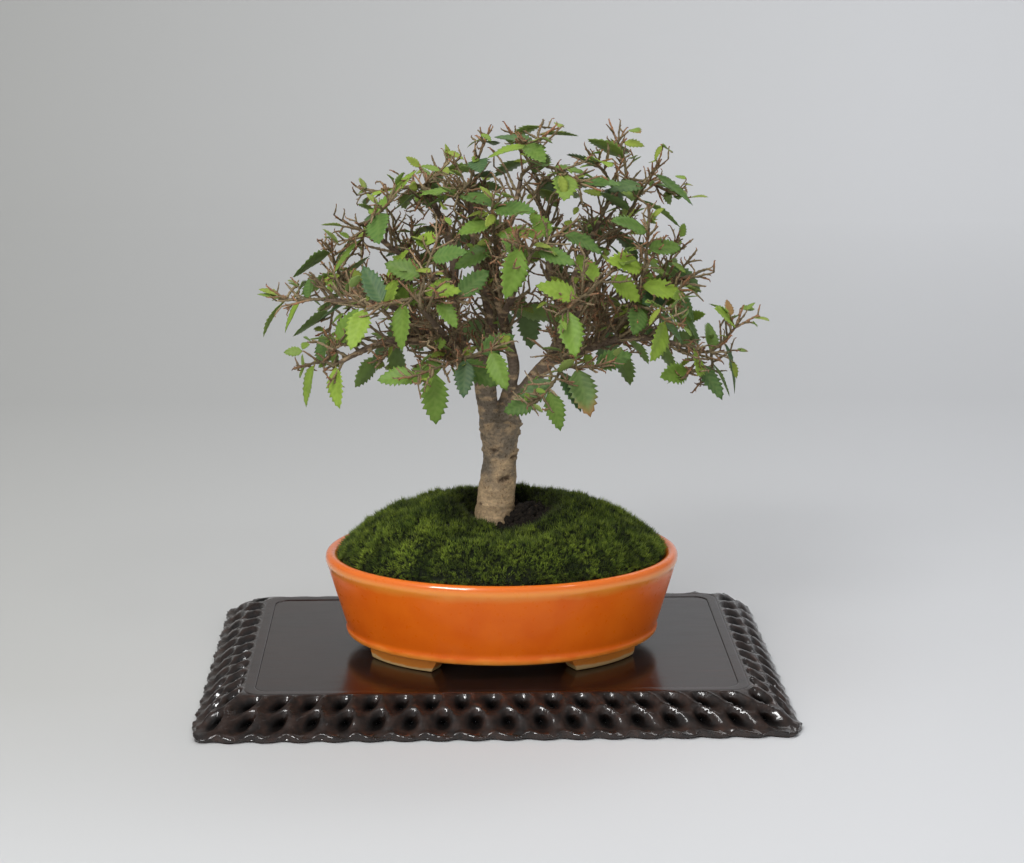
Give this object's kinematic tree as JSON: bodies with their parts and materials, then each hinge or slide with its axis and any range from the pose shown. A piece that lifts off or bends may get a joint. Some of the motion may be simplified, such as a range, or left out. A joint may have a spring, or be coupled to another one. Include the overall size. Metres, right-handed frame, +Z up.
{
  "type": "zelkova bonsai",
  "caption": "Broom-style zelkova bonsai in leaf, rooted under a moss mound in an oval orange-glazed pot with low feet, on a dark carved openwork display stand.",
  "frame": {"origin": "centre of the stand's underside", "axes": "+X to the right along the stand's long side, -Y towards the front, +Z up"},
  "size_m": [0.266, 0.18, 0.2579],
  "materials": {
    "lacquered_wood": "dark gloss lacquer",
    "panel_wood": "dark satin lacquer",
    "orange_glaze": "glossy ceramic glaze",
    "screen_plastic": "matt mesh",
    "soil": "crumbly matt",
    "moss": "soft pile",
    "bark": "rough bark",
    "leaf": "leaf, half matt"
  },
  "bodies": {
    "root": {"stand_frame": "lacquered_wood", "stand_panel": "panel_wood", "pot": "orange_glaze", "drain_screen_left": "screen_plastic", "drain_screen_right": "screen_plastic", "soil": "soil", "moss": "moss", "trunk_and_limbs": "bark", "spray_01": "leaf", "spray_02": "leaf", "spray_03": "leaf", "spray_04": "leaf", "spray_05": "leaf", "spray_06": "leaf", "spray_07": "leaf", "spray_08": "leaf", "spray_09": "leaf", "spray_10": "leaf", "spray_11": "leaf", "spray_12": "leaf", "spray_13": "leaf", "spray_14": "leaf", "spray_15": "leaf", "spray_16": "leaf", "spray_17": "leaf", "spray_18": "leaf", "spray_19": "leaf", "spray_20": "leaf", "spray_21": "leaf", "spray_22": "leaf", "spray_23": "leaf", "spray_24": "leaf", "spray_25": "leaf", "spray_26": "leaf"}
  },
  "joints": []
}
